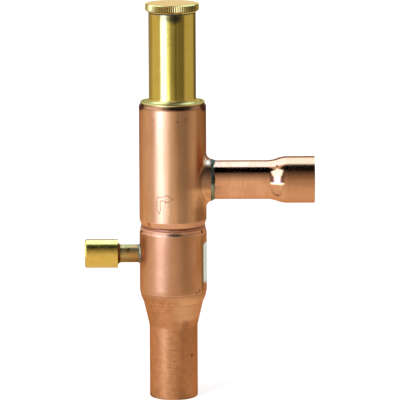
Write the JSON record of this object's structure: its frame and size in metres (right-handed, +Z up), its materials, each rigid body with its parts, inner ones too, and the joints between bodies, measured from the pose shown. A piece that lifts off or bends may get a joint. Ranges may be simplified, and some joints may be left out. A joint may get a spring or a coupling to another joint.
{
  "type": "evaporator pressure regulator",
  "caption": "Brazed copper evaporator pressure regulator: inlet below, outlet at the side, spring and bellows valve inside, setting screw under a knurled brass cap, gauge port.",
  "frame": {"origin": "centre of the inlet tube's mouth, at the bottom of the regulator", "axes": "+Z up along the body towards the setting screw and its cap, +X along the outlet tube, -X along the gauge port"},
  "size_m": [0.1033, 0.0302, 0.1789],
  "materials": {
    "lower_copper": "spun copper, matt and a little pink",
    "upper_copper": "spun copper, satin",
    "tube_copper": "drawn copper, brushed",
    "braze": "dull silver braze with a green tint",
    "machined_brass": "turned",
    "sleeve_brass": "polished, a little green",
    "cap_brass": "turned and knurled",
    "port_brass": "stained by the brazing heat",
    "port_cap_brass": "polished",
    "core_brass": "turned",
    "core_steel": "bright",
    "spring_steel": "oiled",
    "bellows_metal": "thin bright sheet",
    "black_gasket": "matt",
    "gauge_gasket": "matt",
    "facing_plastic": "matt"
  },
  "bodies": {
    "housing": {"inlet_housing": "lower_copper", "outlet_housing": "upper_copper", "outlet_tube": "tube_copper", "outlet_braze_ring": "braze", "seat_ring": "machined_brass", "spring_housing": "sleeve_brass", "bellows": "bellows_metal", "bellows_top_ring": "machined_brass", "damper_spider": "machined_brass", "damper_cylinder": "machined_brass", "gauge_port_stem": "port_brass", "gauge_port_braze_ring": "braze", "core_body": "core_brass", "core_sealing_ring": "facing_plastic", "main_spring": "spring_steel", "core_spring": "spring_steel"},
    "cap_gasket": {"cap_gasket": "black_gasket"},
    "cap": {"protective_cap": "cap_brass"},
    "upper_seat": {"upper_spring_seat": "machined_brass"},
    "screw": {"setting_screw": "machined_brass"},
    "valve": {"valve_plate": "machined_brass", "valve_plate_facing": "facing_plastic", "valve_stem": "machined_brass", "lower_spring_seat": "machined_brass", "damper_piston": "machined_brass", "stem_nut": "machined_brass", "bellows_bottom_cup": "machined_brass"},
    "port_gasket": {"gauge_cap_gasket": "gauge_gasket"},
    "port_cap": {"gauge_port_cap": "port_cap_brass"},
    "core": {"core_pin": "core_steel", "core_seal": "black_gasket"}
  },
  "joints": [
    {"name": "cap_lift", "type": "slide", "parent": "housing", "child": "cap_gasket", "axis": [0, 0, 1], "range_m": [0, 0.0075]},
    {"name": "cap_turn", "type": "hinge", "parent": "cap_gasket", "child": "cap", "pos_m": [0, 0, 0.175], "axis": [0, 0, 1], "range_deg": [0, 2702]},
    {"name": "screw_travel", "type": "slide", "parent": "housing", "child": "upper_seat", "axis": [0, 0, -1], "range_m": [-0.006, 0.007], "deforming": ["main_spring"]},
    {"name": "screw_turn", "type": "hinge", "parent": "upper_seat", "child": "screw", "pos_m": [0, 0, 0.15], "axis": [0, 0, -1], "range_deg": [-2162, 2522]},
    {"name": "valve_lift", "type": "slide", "parent": "housing", "child": "valve", "axis": [0, 0, 1], "range_m": [0, 0.004], "stiffness_N_per_m": 15500, "deforming": ["main_spring", "bellows"]},
    {"name": "port_cap_travel", "type": "slide", "parent": "housing", "child": "port_gasket", "axis": [-1, 0, 0], "range_m": [0, 0.0104]},
    {"name": "port_cap_turn", "type": "hinge", "parent": "port_gasket", "child": "port_cap", "pos_m": [-0.0325, 0, 0.0655], "axis": [-1, 0, 0], "range_deg": [0, 2950]},
    {"name": "core_push", "type": "slide", "parent": "housing", "child": "core", "axis": [1, 0, 0], "range_m": [0, 0.0012], "stiffness_N_per_m": 4000, "deforming": ["core_spring"]}
  ],
  "couplings": [
    {"joint": "cap_turn", "follows": "cap_lift", "rad_per_m": 6283.2},
    {"joint": "screw_turn", "follows": "screw_travel", "rad_per_m": 6283.2},
    {"joint": "port_cap_turn", "follows": "port_cap_travel", "rad_per_m": 4947.4}
  ]
}
